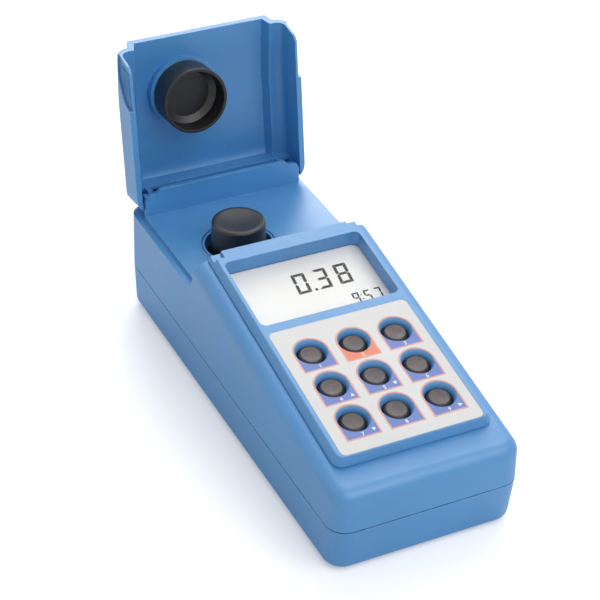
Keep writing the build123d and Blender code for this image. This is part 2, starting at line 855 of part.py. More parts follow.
def make_key(x, v):
    """One key: a round cap with a broad soft edge and a dished top, a flange that stops it, a stem."""
    flange_top = bowl_boss_low + key_stop_gap
    tall = flange_top - key_sink
    cap = Pos(0, 0, -key_sink - tall / 2) * Cylinder(key_radius, tall)
    cap = fillet(cap.edges().sort_by(Axis.Z)[-1], key_edge)
    cap -= Pos(0, 0, -key_sink) * hollow_of_ball(key_radius - key_edge - 0.2, key_dish)
    flange = Cylinder(key_radius + key_flange, key_flange_thick)
    stem_low = board_depth - dome_height - key_travel - 0.1
    flange_low = flange_top + key_flange_thick
    stem = Cylinder(key_stem_radius, stem_low - flange_low)
    key = cap + Pos(0, 0, -flange_top - key_flange_thick / 2) * flange
    key += Pos(0, 0, -(stem_low + flange_low) / 2) * stem
    return on_panel(key, x, v)


def make_dome_switches():
    domes = []
    ball = (dome_radius ** 2 + dome_height ** 2) / (2 * dome_height)
    over = Pos(0, 0, ball - dome_height + ball / 2) * Box(2 * ball, 2 * ball, ball)
    dome = Pos(0, 0, dome_height - ball) * (Sphere(ball) & over)
    for x, v in key_places():
        domes.append(on_panel(dome, x, v, -board_depth))
    return Compound(children=domes)


def make_pane():
    return window_opening(window_seat - 0.1, window_depth, window_depth + pane_thick)


def make_display():
    top = window_depth + pane_thick + display_gap
    return window_opening(window_seat - 0.4, top, top + display_thick)


def make_main_board():
    sheet = RectangleRounded(2 * board_half, board_rear - board_front, 1.5)
    middle = (board_front + board_rear) / 2
    for x, v in board_posts():
        sheet -= Pos(x, v - middle) * Circle(board_screw_radius + 0.2)
    back = board_depth + board_thick
    board = extrude(on_panel(sheet, 0, middle, -back), board_thick)
    for x, v, width, length, tall in board_chips:
        board += on_panel(Pos(0, 0, -tall / 2 + 0.1) * Box(width, length, tall), x, v, -back)
    return board


def make_board_screws():
    screw = make_screw(board_screw_radius, board_screw_head, board_screw_head_thick, board_screw_length)
    upward = Rot(180, 0, 0) * screw
    z = -board_depth - board_thick
    return Compound(children=[on_panel(upward, x, v, z) for x, v in board_posts()])


def make_well_collar():
    """Blue ring in the deck round the cuvette, standing in a groove of its own."""
    flange_top = deck_height - well_groove_depth
    flange = Pos(0, 0, flange_top - collar_flange_thick / 2) * Cylinder(
        collar_outer() - 0.05, collar_flange_thick)
    tall = deck_height - block_top
    tube = Pos(0, 0, deck_height - tall / 2) * Cylinder(well_radius + well_collar_wall, tall)
    ring = flange + tube - Pos(0, 0, deck_height) * Cylinder(well_radius, clear)
    ring = fillet(ring.edges().filter_by(GeomType.CIRCLE).group_by(Axis.Z)[-1], well_mouth_round)
    return Pos(well_x, well_y, 0) * ring


def light_bore_solid(radius, angle, start, end):
    """A horizontal round bar pointing away from the cuvette at an angle about Z."""
    length = end - start
    bar = Pos(start + length / 2, 0, light_height) * Rot(0, 90, 0) * Cylinder(radius, length)
    return Pos(well_x, well_y, 0) * Rot(0, 0, angle) * bar


def make_optical_block():
    """Black block under the well, with one light bore behind the cuvette, one ahead and one beside."""
    tall = block_top - block_low
    block = Pos(0, 0, block_low + tall / 2) * Box(2 * block_half, 2 * block_half, tall)
    block = chamfer(block.edges().filter_by(Axis.Z), block_corner)
    bore = cuvette_radius + block_clearance
    block -= Pos(0, 0, block_low + seat_thick + tall / 2) * Cylinder(bore, tall)
    mouth = Pos(0, 0, block_top - block_mouth / 2) * Cone(bore, well_radius, block_mouth)
    block = Pos(well_x, well_y, 0) * (block - mouth)
    for angle in (90, -90, 0):
        block -= light_bore_solid(light_bore, angle, 0, block_half + 1)
    return block


def lens_face():
    return cuvette_radius + block_clearance + 1.0


def lamp_tip():
    return lens_face() + lens_thick + 0.5


def make_lens():
    """Plano-convex lens in the lamp's bore, next to the cuvette."""
    start = lens_face()
    disc = light_bore_solid(lens_radius, 90, start, start + lens_thick)
    return disc & Pos(well_x, well_y + start + lens_ball, light_height) * Sphere(lens_ball)


def make_lamp():
    start = lamp_tip() + lamp_radius
    glass = light_bore_solid(lamp_radius, 90, start, lamp_tip() + lamp_length)
    tip = Pos(well_x, well_y + start, light_height) * Sphere(lamp_radius)
    return glass + (tip & light_bore_solid(lamp_radius, 90, start - lamp_radius, start + 1))


def make_lamp_holder():
    start = lamp_tip() + lamp_radius - 2
    end = lamp_tip() + lamp_length
    sleeve = light_bore_solid(light_bore - 0.1, 90, start, block_half + 1)
    flange = light_bore_solid(lamp_base_radius + lamp_flange, 90, block_half, block_half + 2)
    back = light_bore_solid(lamp_base_radius, 90, block_half + 1, end + 1.5)
    return sleeve + flange + back - light_bore_solid(lamp_radius, 90, 0, end)


def make_detector(angle):
    """Light detector let into a side of the optical block, with two legs."""
    body = light_bore_solid(detector_radius, angle, block_half - detector_length, block_half)
    rim = light_bore_solid(detector_radius + detector_flange, angle, block_half, block_half + detector_flange)
    leg_start = block_half + detector_flange - 0.2
    leg = light_bore_solid(detector_leg_radius, angle, leg_start, block_half + detector_leg_length)
    pitch = detector_leg_half_pitch
    return body + rim + [Pos(0, 0, -pitch) * leg, Pos(0, 0, pitch) * leg]


def make_cuvette():
    """Round glass sample tube with a narrower neck for its cap."""
    tall = cuvette_shoulder_height - cuvette_bottom
    outer = Pos(0, 0, cuvette_bottom + tall / 2) * Cylinder(cuvette_radius, tall)
    outer = fillet(outer.edges().filter_by(GeomType.CIRCLE), 1.5)
    neck_low = cuvette_shoulder_height - 2
    neck = Pos(0, 0, (cuvette_top + neck_low) / 2) * Cylinder(cuvette_neck_radius, cuvette_top - neck_low)
    inner_tall = tall - 2 * cuvette_glass
    inner = Pos(0, 0, cuvette_bottom + cuvette_glass + inner_tall / 2) * Cylinder(
        cuvette_radius - cuvette_glass, inner_tall)
    inner = fillet(inner.edges().filter_by(GeomType.CIRCLE), 1.0)
    throat_low = neck_low - 2 * cuvette_glass
    throat = Pos(0, 0, (throat_low + cuvette_top + 1) / 2) * Cylinder(
        cuvette_neck_radius - cuvette_glass, cuvette_top + 1 - throat_low)
    return Pos(well_x, well_y, 0) * (outer + neck - inner - throat)


def make_cap():
    """Black screw cap: slightly tapered side, soft edge and a smooth dish in its top."""
    body = Pos(0, 0, cap_low + cap_tall / 2) * Cone(cap_radius, cap_top_radius, cap_tall)
    body = fillet(body.edges().filter_by(GeomType.CIRCLE).sort_by(Axis.Z)[-1], cap_edge)
    body -= Pos(0, 0, cap_top) * hollow_of_ball(cap_dish_radius, cap_dish_depth)
    bore_tall = cap_tall - cap_crown
    bore = Cylinder(cuvette_neck_radius + cap_wall_clearance, bore_tall + 1)
    body -= Pos(0, 0, cap_top - cap_crown - (bore_tall + 1) / 2) * bore
    return Pos(well_x, well_y, 0) * body


def make_cap_liner():
    liner = Cylinder(cuvette_neck_radius, liner_thick)
    return Pos(well_x, well_y, cuvette_top + liner_thick / 2) * liner


def rear_rod(x, y, radius, length):
    """A round bar along Y at the sockets' height, its middle at y."""
    return Pos(x, y, socket_height) * Rot(90, 0, 0) * Cylinder(radius, length)


def make_socket_cuts():
    """Openings in the rear wall for the power jack and the data port."""
    reach = 6 * wall
    jack = rear_rod(jack_x, case_length, jack_radius + socket_clearance, reach)
    port = Pos(port_x, case_length, socket_height) * Box(
        port_width + 2 * socket_clearance, reach, port_tall + 2 * socket_clearance)
    return jack + port


def socket_flange_y():
    return case_length - wall - 1 - socket_flange / 2


def make_power_jack():
    face = case_length - socket_sink
    body = rear_rod(jack_x, face - jack_length / 2, jack_radius, jack_length)
    flange = Pos(jack_x, socket_flange_y(), socket_height) * Box(
        2 * jack_radius + 4, socket_flange, 2 * jack_radius + 2)
    bore = rear_rod(jack_x, face - jack_bore_depth / 2, jack_bore, jack_bore_depth)
    pin_y = face - jack_bore_depth - 0.5 + jack_pin_length / 2
    return body + flange - bore + rear_rod(jack_x, pin_y, jack_pin, jack_pin_length)


def make_data_port():
    face = case_length - socket_sink
    body = Pos(port_x, face - port_length / 2, socket_height) * Box(port_width, port_length, port_tall)
    flange = Pos(port_x, socket_flange_y(), socket_height) * Box(
        port_width + 4, socket_flange, port_tall + 2)
    hollow = Pos(port_x, face - port_depth / 2, socket_height) * Box(
        port_width - 2 * port_wall, port_depth, port_tall - 2 * port_wall)
    tongue_y = face - port_depth - 0.5 + port_tongue_length / 2
    tongue = Pos(port_x, tongue_y, socket_height) * Box(
        port_width - 2 * port_tongue_side, port_tongue_length, port_tongue)
    return body + flange - hollow + tongue


def make_all():
    pieces = {
        "upper_case": make_upper_case(),
        "lower_case": make_lower_case(),
        "case_gasket": make_gasket(),
        "case_screws": make_case_screws(),
        "rubber_feet": make_feet(),
        "lid": open_lid(make_lid_closed()),
        "light_shield_cup": open_lid(make_cup_closed()),
        "hinge_pins": make_hinge_pins(),
        "keypad_label": make_label(),
        "display_window": make_pane(),
        "lcd_display": make_display(),
        "main_board": make_main_board(),
        "board_screws": make_board_screws(),
        "key_dome_switches": make_dome_switches(),
        "well_collar": make_well_collar(),
        "optical_block": make_optical_block(),
        "lamp_lens": make_lens(),
        "lamp": make_lamp(),
        "lamp_holder": make_lamp_holder(),
        "transmitted_light_detector": make_detector(-90),
        "scattered_light_detector": make_detector(0),
        "cuvette_glass": make_cuvette(),
        "cuvette_cap": make_cap(),
        "cap_liner": make_cap_liner(),
        "battery_cover": make_battery_cover(),
        "battery_springs": make_contact_springs(),
        "battery_contact_plates": make_contact_plates(),
        "power_jack": make_power_jack(),
        "data_port": make_data_port(),
    }
    rows = ("rear", "middle", "front")
    columns = ("left", "centre", "right")
    for i, (x, v) in enumerate(key_places()):
        pieces[f"key_{rows[i // 3]}_{columns[i % 3]}"] = make_key(x, v)
    for i, x in enumerate(cell_places()):
        pieces[f"battery_cell_{i + 1}"] = make_cell(x, i % 2 == 1)
    return pieces


def main():
    pieces = make_all()
    boxes = [shape.bounding_box() for shape in pieces.values()]
    middle = (min(b.min.Y for b in boxes) + max(b.max.Y for b in boxes)) / 2
    os.makedirs("parts", exist_ok=True)
    for name, shape in pieces.items():
        export_step(Pos(0, -middle, 0) * shape, f"parts/{name}.step")
    print("origin stands", round(middle, 4), "mm behind the front wall")


main()
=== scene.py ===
"""A portable turbidity meter with its cover open: finishes, printed panel, display figures and stage."""

import math

import bpy
from mathutils import Matrix, Vector


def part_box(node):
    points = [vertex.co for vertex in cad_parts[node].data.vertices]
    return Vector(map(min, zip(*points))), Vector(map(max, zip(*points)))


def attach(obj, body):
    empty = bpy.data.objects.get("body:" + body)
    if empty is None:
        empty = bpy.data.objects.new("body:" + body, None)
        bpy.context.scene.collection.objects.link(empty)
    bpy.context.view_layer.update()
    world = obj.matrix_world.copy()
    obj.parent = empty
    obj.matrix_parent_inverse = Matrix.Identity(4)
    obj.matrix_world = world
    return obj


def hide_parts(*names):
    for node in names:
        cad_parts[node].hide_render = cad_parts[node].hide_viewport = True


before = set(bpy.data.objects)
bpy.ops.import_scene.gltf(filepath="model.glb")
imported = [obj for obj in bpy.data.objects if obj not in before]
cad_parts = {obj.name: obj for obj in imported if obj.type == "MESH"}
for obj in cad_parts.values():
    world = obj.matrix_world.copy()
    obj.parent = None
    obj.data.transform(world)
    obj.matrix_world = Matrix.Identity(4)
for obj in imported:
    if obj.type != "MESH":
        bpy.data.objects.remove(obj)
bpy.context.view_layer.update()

mm = 0.001

# Sloping panel and its label, in metres, as in the CAD model, but with the keys shifted to the right
panel_angle = math.radians(10.39)
panel_front_height = 46.1 * mm
key_pitch = 20.0 * mm
key_row_pitch = 20.15 * mm
key_first_row = 33.5 * mm
key_shift = 0.5 * mm
label_half = 32.7 * mm
label_front = 16.4 * mm
label_rear = 89.4 * mm
label_corner = 2.5 * mm
label_thick = 0.3 * mm

# Keys and the bowls they sit in: radii, and depths under the panel
key_radius = 5.5 * mm
key_sink = 1.6 * mm
key_edge = 1.2 * mm
key_dish = 0.3 * mm
key_dish_steps = 8
key_rim_steps = ((0.08, 0.02), (0.4, 0.19), (0.7, 0.38), (0.86, 0.53), (0.95, 0.7), (1.0, 0.92))
key_flange_radius = 7.4 * mm
key_flange_top = 5.25 * mm
key_flange_low = 6.25 * mm
key_stem_radius = 2.0 * mm
key_stem_low = 11.5 * mm
bowl_radius = 7.3 * mm
bowl_lip_radius = 6.7 * mm
bowl_lip_depth = 1.0 * mm
bowl_foot_radius = 6.15 * mm
bowl_depth = 3.6 * mm
bowl_outer_radius = 7.9 * mm

# Printed fields round the keys, their numbers and their arrows
field_round = 7.4 * mm
field_half = 7.3 * mm
field_drop = 10.15 * mm
field_line = 0.75 * mm
print_thick = 0.03 * mm
figure_size = 2.6 * mm
figure_drop = 9.75 * mm
figure_boldness = 0.04
orange_field = 2
arrow_size = 1.8 * mm
arrow_out = 5.4 * mm
arrow_drop = 8.0 * mm
arrow_outline = ((0, 0.55), (-0.5, -0.45), (0.5, -0.45))
arrow_turns = {4: 0, 5: 180, 7: 180, 9: -90}

# Display: its depth under the panel, the reading and the clock
display_depth = 8.5 * mm
digit_height = 12.4 * mm
digit_width = 6.3 * mm
digit_stroke = 1.45 * mm
digit_pitch = 10.24 * mm
digit_left = -5.1 * mm
digit_low = 114.5 * mm
digit_slant = 0.085
dot_slant = 0.08
reading_figures = "038"
point_gap = 1.65 * mm
point_size = 1.3 * mm
clock_height = 6.6 * mm
clock_width = 3.2 * mm
clock_stroke = 0.82 * mm
clock_figures = "957"
clock_lefts = (16.1 * mm, 21.7 * mm, 26.8 * mm)
clock_low = 101.0 * mm
colon_gap = 1.0 * mm
colon_size = 0.65 * mm
colon_rises = (1.6 * mm, 4.2 * mm)
segment_thick = 0.06 * mm
bar_gap_share = 0.06
bar_tip_share = 0.6
bar_point_share = 0.5

# Cover: its hinge, and the ejector pin marks inside it, as they stand when it is shut
hinge_y = 216.0013 * mm
hinge_height = 58.0 * mm
cover_open_angle = math.radians(97.4)
cover_ceiling = 73.6 * mm
pin_mark_radius = 2.0 * mm
pin_mark_line = 0.25 * mm
pin_marks = ((28.9 * mm, 184.3 * mm), (-9.2 * mm, 205.2 * mm), (9.7 * mm, 204.8 * mm))

# Steps of round outlines, the turn that leaves an edge sharp, and how soft a moulded edge looks
round_steps = 72
mark_steps = 36
field_top_steps = 33
label_corner_steps = 9
sharp_turn = math.radians(40)
soft_edge = 0.3 * mm
bevel_samples = 4

# Stage: light from all round, the floor's lift and reach, the display's painted glow, and the lamps
ambient_level = 0.5
floor_lift = 0.3
floor_reach = 1.7
# Glow painted on the display, to lift it out of the shade of its recess
display_painted_glow = 0.07
lamp_aim = (0, 0, 0.04)
lamps = (
    ("softbox_behind", (0.85, 1.15, 1.75), 2.0, 15.0),
    ("low_softbox_behind", (0.62, 1.27, 0.95), 0.9, 9.0),
    ("fill_front", (0.35, -1.1, 1.5), 1.4, 13.0),
)

case_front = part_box("upper_case")[0][1]


def srgb(red, green, blue):
    """A display colour from 0 to 255 as a linear colour."""
    levels = [value / 255 for value in (red, green, blue)]
    linear = [v / 12.92 if v <= 0.04045 else ((v + 0.055) / 1.055) ** 2.4 for v in levels]
    return (*linear, 1.0)


# Colours
case_blue = srgb(68, 141, 201)
# Edge colour of the blue plastic: partly wear, partly painted highlight on edges that catch the light
case_blue_wear_and_highlight = srgb(166, 200, 232)
# Lighter blue rings of the ejector marks: painted highlight on the edges of recessed marks
mark_highlight_blue = srgb(92, 160, 220)
# Lighter copy of the case blue for the key bowls: painted highlight for the light caught inside them
bowl_painted_highlight_blue = srgb(96, 160, 218)
seal_blue = srgb(12, 26, 52)
dust_grey = srgb(178, 186, 196)
satin_black = srgb(25, 24, 27)
satin_black_worn = srgb(74, 70, 72)
optics_black = srgb(24, 24, 25)
key_grey = srgb(72, 66, 70)
key_grey_light = srgb(82, 75, 78)
key_brown = srgb(98, 81, 78)
# Near black of the keys' rounded rims and sides: painted shade
key_rim_painted_shade = srgb(30, 27, 31)
label_white = srgb(217, 216, 216)
field_violet = srgb(98, 124, 194)
field_orange = srgb(228, 128, 100)
outline_salmon = srgb(220, 162, 146)
figure_white = srgb(236, 238, 246)
display_white = srgb(252, 248, 244)
floor_colour = (0.93, 0.93, 0.93, 1.0)
window_tint = srgb(226, 236, 232)
digit_dark = srgb(38, 38, 35)
rubber_black = srgb(34, 34, 35)
rubber_worn = srgb(70, 70, 70)
liner_white = srgb(214, 214, 210)
liner_worn = srgb(230, 230, 228)
steel_grey = srgb(188, 190, 192)
brass_yellow = srgb(200, 168, 96)
sleeve_dark = srgb(30, 32, 38)
sleeve_light = srgb(40, 42, 50)
board_green = srgb(30, 96, 52)
board_green_dark = srgb(26, 88, 48)
board_track = srgb(48, 120, 70)
glass_tint = (0.97, 1.0, 0.99, 1.0)
white = (1.0, 1.0, 1.0, 1.0)


def new_group(name, inputs, outputs):
    """An empty shader node group with these sockets, and its input and output nodes."""
    group = bpy.data.node_groups.new(name, "ShaderNodeTree")
    for label, kind, value in inputs:
        socket = group.interface.new_socket(label, in_out="INPUT", socket_type=kind)
        socket.default_value = value
    for label, kind in outputs:
        group.interface.new_socket(label, in_out="OUTPUT", socket_type=kind)
    return group, group.nodes.new("NodeGroupInput"), group.nodes.new("NodeGroupOutput")


def math_node(tree, operation, first, second=None):
    """A math node fed by sockets or plain numbers; returns its output."""
    node = tree.nodes.new("ShaderNodeMath")
    node.operation = operation
    for slot, value in zip(node.inputs, (first, second)):
        if value is None:
            continue
        if isinstance(value, (int, float)):
            slot.default_value = value
        else:
            tree.links.new(value, slot)
    return node.outputs[0]


def noise_node(tree, vector, scale, detail=3.0, roughness=0.5):
    """A noise texture on a vector; returns its value output."""
    node = tree.nodes.new("ShaderNodeTexNoise")
    node.inputs["Detail"].default_value = detail
    node.inputs["Roughness"].default_value = roughness
    tree.links.new(vector, node.inputs["Vector"])
    if isinstance(scale, (int, float)):
        node.inputs["Scale"].default_value = scale
    else:
        tree.links.new(scale, node.inputs["Scale"])
    return node.outputs["Fac"]


def spread(tree, value, low, high, to_low=0.0, to_high=1.0):
    """Maps a value from one range to another, clamped."""
    node = tree.nodes.new("ShaderNodeMapRange")
    node.inputs["From Min"].default_value = low
    node.inputs["From Max"].default_value = high
    node.inputs["To Min"].default_value = to_low
    node.inputs["To Max"].default_value = to_high
    tree.links.new(value, node.inputs["Value"])
    return node.outputs["Result"]


def object_place(tree):
    """Where a point lies, in the object's own metres."""
    return tree.nodes.new("ShaderNodeTexCoord").outputs["Object"]


def make_moulded_texture():
    """Fine spark-eroded grain over a soft mould flow, and a slow change of tone."""
    group, take, give = new_group(
        "Moulded Texture",
        [("Grains per Metre", "NodeSocketFloat", 2600.0), ("Flow per Metre", "NodeSocketFloat", 160.0)],
        [("Height", "NodeSocketFloat"), ("Tone", "NodeSocketFloat")],
    )
    place = object_place(group)
    grain = noise_node(group, place, take.outputs["Grains per Metre"], 2.0, 0.6)
    flow = noise_node(group, place, take.outputs["Flow per Metre"], 1.0)
    fine = math_node(group, "MULTIPLY", grain, 0.7)
    slow = math_node(group, "MULTIPLY", flow, 0.3)
    height = math_node(group, "ADD", fine, slow)
    tone = spread(group, noise_node(group, place, 28.0, 3.0), 0.3, 0.7)
    group.links.new(height, give.inputs["Height"])
    group.links.new(tone, give.inputs["Tone"])
    return group


def make_edge_wear():
    """White where an edge turns, broken up by noise: a mask for wear and for painted highlight on edges."""
    group, take, give = new_group(
        "Edge Wear and Highlight",
        [("Reach", "NodeSocketFloat", 0.6 * mm), ("Patches per Metre", "NodeSocketFloat", 220.0)],
        [("Mask", "NodeSocketFloat")],
    )
    bevel = group.nodes.new("ShaderNodeBevel")
    bevel.samples = bevel_samples
    group.links.new(take.outputs["Reach"], bevel.inputs["Radius"])
    geometry = group.nodes.new("ShaderNodeNewGeometry")
    dot = group.nodes.new("ShaderNodeVectorMath")
    dot.operation = "DOT_PRODUCT"
    group.links.new(bevel.outputs["Normal"], dot.inputs[0])
    group.links.new(geometry.outputs["Normal"], dot.inputs[1])
    turn = spread(group, dot.outputs["Value"], 0.995, 0.86)
    patches = noise_node(group, object_place(group), take.outputs["Patches per Metre"], 4.0, 0.65)
    broken = spread(group, patches, 0.42, 0.66)
    group.links.new(math_node(group, "MULTIPLY", turn, broken), give.inputs["Mask"])
    return group


def make_settled_dust():
    """White where a surface faces up and dust has gathered in soft patches."""
    group, take, give = new_group(
        "Settled Dust",
        [("Amount", "NodeSocketFloat", 0.1), ("Patches per Metre", "NodeSocketFloat", 60.0)],
        [("Mask", "NodeSocketFloat")],
    )
    turned = group.nodes.new("ShaderNodeSeparateXYZ")
    group.links.new(group.nodes.new("ShaderNodeTexCoord").outputs["Normal"], turned.inputs[0])
    upward = spread(group, turned.outputs["Z"], 0.2, 1.0)
    place = object_place(group)
    clouds = noise_node(group, place, take.outputs["Patches per Metre"], 5.0, 0.7)
    patches = spread(group, clouds, 0.4, 0.75)
    specks = spread(group, noise_node(group, place, 3200.0, 1.0), 0.66, 0.72)
    layer = math_node(group, "ADD", patches, math_node(group, "MULTIPLY", specks, 0.6))
    lying = math_node(group, "MULTIPLY", layer, upward)
    group.links.new(math_node(group, "MULTIPLY", lying, take.outputs["Amount"]), give.inputs["Mask"])
    return group


def make_brushed_grain():
    """Long fine lines along X, for turned and brushed metal."""
    group, take, give = new_group(
        "Brushed Grain",
        [("Lines per Metre", "NodeSocketFloat", 5000.0)],
        [("Height", "NodeSocketFloat"), ("Tone", "NodeSocketFloat")],
    )
    stretch = group.nodes.new("ShaderNodeVectorMath")
    stretch.operation = "MULTIPLY"
    stretch.inputs[1].default_value = (0.04, 1.0, 1.0)
    group.links.new(object_place(group), stretch.inputs[0])
    lines = noise_node(group, stretch.outputs["Vector"], take.outputs["Lines per Metre"], 3.0, 0.6)
    group.links.new(lines, give.inputs["Height"])
    group.links.new(spread(group, lines, 0.3, 0.7), give.inputs["Tone"])
    return group


moulded_texture = make_moulded_texture()
edge_wear_and_highlight = make_edge_wear()
settled_dust = make_settled_dust()
brushed_grain = make_brushed_grain()


def place_group(tree, group, **values):
    """A group node in a material, with its inputs set by name."""
    node = tree.nodes.new("ShaderNodeGroup")
    node.node_tree = group
    for label, value in values.items():
        node.inputs[label.replace("_", " ")].default_value = value
    return node


def mix_colour(tree, factor, first, second):
    """Mixes two colours, each a socket or a plain colour, by a factor socket."""
    node = tree.nodes.new("ShaderNodeMix")
    node.data_type = "RGBA"
    tree.links.new(factor, node.inputs["Factor"])
    for slot, value in zip((node.inputs[6], node.inputs[7]), (first, second)):
        if isinstance(value, tuple):
            slot.default_value = value
        else:
            tree.links.new(value, slot)
    return node.outputs[2]


def start_material(name, roughness, **fixed):
    """A material with one principled shader and its fixed inputs set."""
    material = bpy.data.materials.new(name)
    material.use_nodes = True
    shader = material.node_tree.nodes["Principled BSDF"]
    shader.inputs["Roughness"].default_value = roughness
    for label, value in fixed.items():
        shader.inputs[label.replace("_", " ")].default_value = value
    return material, material.node_tree, shader


def add_bump(tree, shader, height, strength, distance, edge_radius=None):
    """Bump from a height, over edges softened by a bevel where a radius is given."""
    bump = tree.nodes.new("ShaderNodeBump")
    bump.inputs["Strength"].default_value = strength
    bump.inputs["Distance"].default_value = distance
    tree.links.new(height, bump.inputs["Height"])
    if edge_radius:
        bevel = tree.nodes.new("ShaderNodeBevel")
        bevel.samples = bevel_samples
        bevel.inputs["Radius"].default_value = edge_radius
        tree.links.new(bevel.outputs["Normal"], bump.inputs["Normal"])
    tree.links.new(bump.outputs["Normal"], shader.inputs["Normal"])


def moulded_plastic(
    name, colour, worn_and_lit_edge, roughness, tone_shift=0.05, dust=0.08, grain=2600.0, edge_show=0.35, shine=0.5
):
    """Moulded plastic: grained, a little lighter on its edges from wear and painted highlight, with a
    breath of dust on top.
    """
    material, tree, shader = start_material(name, roughness, Specular_IOR_Level=shine)
    skin = place_group(tree, moulded_texture, Grains_per_Metre=grain)
    wear_and_highlight = place_group(tree, edge_wear_and_highlight, Reach=2 * soft_edge)
    dusty = place_group(tree, settled_dust, Amount=dust)
    lighter = tuple(min(1.0, c * (1 + tone_shift)) for c in colour[:3]) + (1.0,)
    darker = tuple(c * (1 - tone_shift) for c in colour[:3]) + (1.0,)
    base = mix_colour(tree, skin.outputs["Tone"], darker, lighter)
    base = mix_colour(tree, math_node(tree, "MULTIPLY", wear_and_highlight.outputs["Mask"], edge_show), base, worn_and_lit_edge)
    base = mix_colour(tree, dusty.outputs["Mask"], base, dust_grey)
    tree.links.new(base, shader.inputs["Base Color"])
    rough = spread(tree, skin.outputs["Tone"], 0.0, 1.0, roughness - 0.04, roughness + 0.05)
    tree.links.new(rough, shader.inputs["Roughness"])
    add_bump(tree, shader, skin.outputs["Height"], 0.25, 0.03 * mm, soft_edge)
    return material


def printed_film(name, colour, roughness=0.42, shine=0.5):
    """Printed film: even ink with a faint dot of texture."""
    material, tree, shader = start_material(name, roughness, Specular_IOR_Level=shine)
    skin = place_group(tree, moulded_texture, Grains_per_Metre=4200.0)
    dusty = place_group(tree, settled_dust, Amount=0.05)
    darker = tuple(c * 0.94 for c in colour[:3]) + (1.0,)
    base = mix_colour(tree, skin.outputs["Tone"], darker, colour)
    base = mix_colour(tree, dusty.outputs["Mask"], base, dust_grey)
    tree.links.new(base, shader.inputs["Base Color"])
    add_bump(tree, shader, skin.outputs["Height"], 0.12, 0.01 * mm)
    return material


def metal(name, colour, roughness):
    """Brushed or turned metal."""
    material, tree, shader = start_material(name, roughness, Metallic=1.0)
    grain = place_group(tree, brushed_grain)
    darker = tuple(c * 0.8 for c in colour[:3]) + (1.0,)
    tree.links.new(mix_colour(tree, grain.outputs["Tone"], darker, colour), shader.inputs["Base Color"])
    rough = spread(tree, grain.outputs["Tone"], 0.0, 1.0, roughness - 0.08, roughness + 0.1)
    tree.links.new(rough, shader.inputs["Roughness"])
    add_bump(tree, shader, grain.outputs["Height"], 0.2, 0.01 * mm, 0.1 * mm)
    return material


def clear_glass(name, colour, roughness=0.02, index=1.5):
    """Clear glass that lets light through to what is behind it."""
    material, tree, shader = start_material(name, roughness, Transmission_Weight=1.0, IOR=index)
    shader.inputs["Base Color"].default_value = colour
    light_path = tree.nodes.new("ShaderNodeLightPath")
    solid = math_node(tree, "SUBTRACT", 1.0, light_path.outputs["Is Shadow Ray"])
    tree.links.new(solid, shader.inputs["Alpha"])
    return material


def display_face():
    """Liquid crystal display: pale, with a faint painted glow that makes up for the shade of its deep
    recess.
    """
    material = printed_film("display_face", display_white, 0.6, 0.15)
    shader = material.node_tree.nodes["Principled BSDF"]
    shader.inputs["Emission Color"].default_value = white
    shader.inputs["Emission Strength"].default_value = display_painted_glow
    return material


def window_plastic():
    """Thin clear window that lets nearly everything through and keeps a faint gloss."""
    material, tree, shader = start_material("window_clear", 0.08, Alpha=0.05)
    shader.inputs["Base Color"].default_value = window_tint
    return material


def key_material():
    """Key rubber: grey with brown patches on top, near black down its rounded rim and side as painted
    shade.
    """
    material, tree, shader = start_material("key_rubber", 0.5)
    skin = place_group(tree, moulded_texture, Grains_per_Metre=1800.0)
    up = Vector((0, -math.sin(panel_angle), math.cos(panel_angle)))
    facing = tree.nodes.new("ShaderNodeVectorMath")
    facing.operation = "DOT_PRODUCT"
    facing.inputs[1].default_value = up
    tree.links.new(tree.nodes.new("ShaderNodeTexCoord").outputs["Normal"], facing.inputs[0])
    # Below this facing the key turns near black: painted shade on its rounded rim and side
    top = spread(tree, facing.outputs["Value"], 0.94, 0.99)
    grey = mix_colour(tree, skin.outputs["Tone"], key_grey, key_grey_light)
    patches = spread(tree, noise_node(tree, object_place(tree), 260.0, 3.0, 0.6), 0.42, 0.66)
    mottled = mix_colour(tree, patches, grey, key_brown)
    tree.links.new(mix_colour(tree, top, key_rim_painted_shade, mottled), shader.inputs["Base Color"])
    tree.links.new(spread(tree, skin.outputs["Tone"], 0.0, 1.0, 0.42, 0.55), shader.inputs["Roughness"])
    add_bump(tree, shader, skin.outputs["Height"], 0.4, 0.04 * mm, soft_edge)
    return material


def cell_material():
    """Battery: dark sleeve, bare metal at its ends."""
    material, tree, shader = start_material("cell_sleeve", 0.35)
    turned = tree.nodes.new("ShaderNodeSeparateXYZ")
    tree.links.new(tree.nodes.new("ShaderNodeTexCoord").outputs["Normal"], turned.inputs[0])
    end = spread(tree, math_node(tree, "ABSOLUTE", turned.outputs["Y"]), 0.6, 0.8)
    grain = place_group(tree, brushed_grain)
    sleeve = mix_colour(tree, grain.outputs["Tone"], sleeve_dark, sleeve_light)
    tree.links.new(mix_colour(tree, end, sleeve, steel_grey), shader.inputs["Base Color"])
    tree.links.new(end, shader.inputs["Metallic"])
    return material


def board_material():
    """Green lacquered board with faint tracks."""
    material, tree, shader = start_material("board_lacquer", 0.35)
    brick = tree.nodes.new("ShaderNodeTexBrick")
    brick.inputs["Scale"].default_value = 180.0
    brick.inputs["Mortar Size"].default_value = 0.06
    tree.links.new(object_place(tree), brick.inputs["Vector"])
    brick.inputs["Color1"].default_value = board_green
    brick.inputs["Color2"].default_value = board_green_dark
    brick.inputs["Mortar"].default_value = board_track
    tree.links.new(brick.outputs["Color"], shader.inputs["Base Color"])
    return material


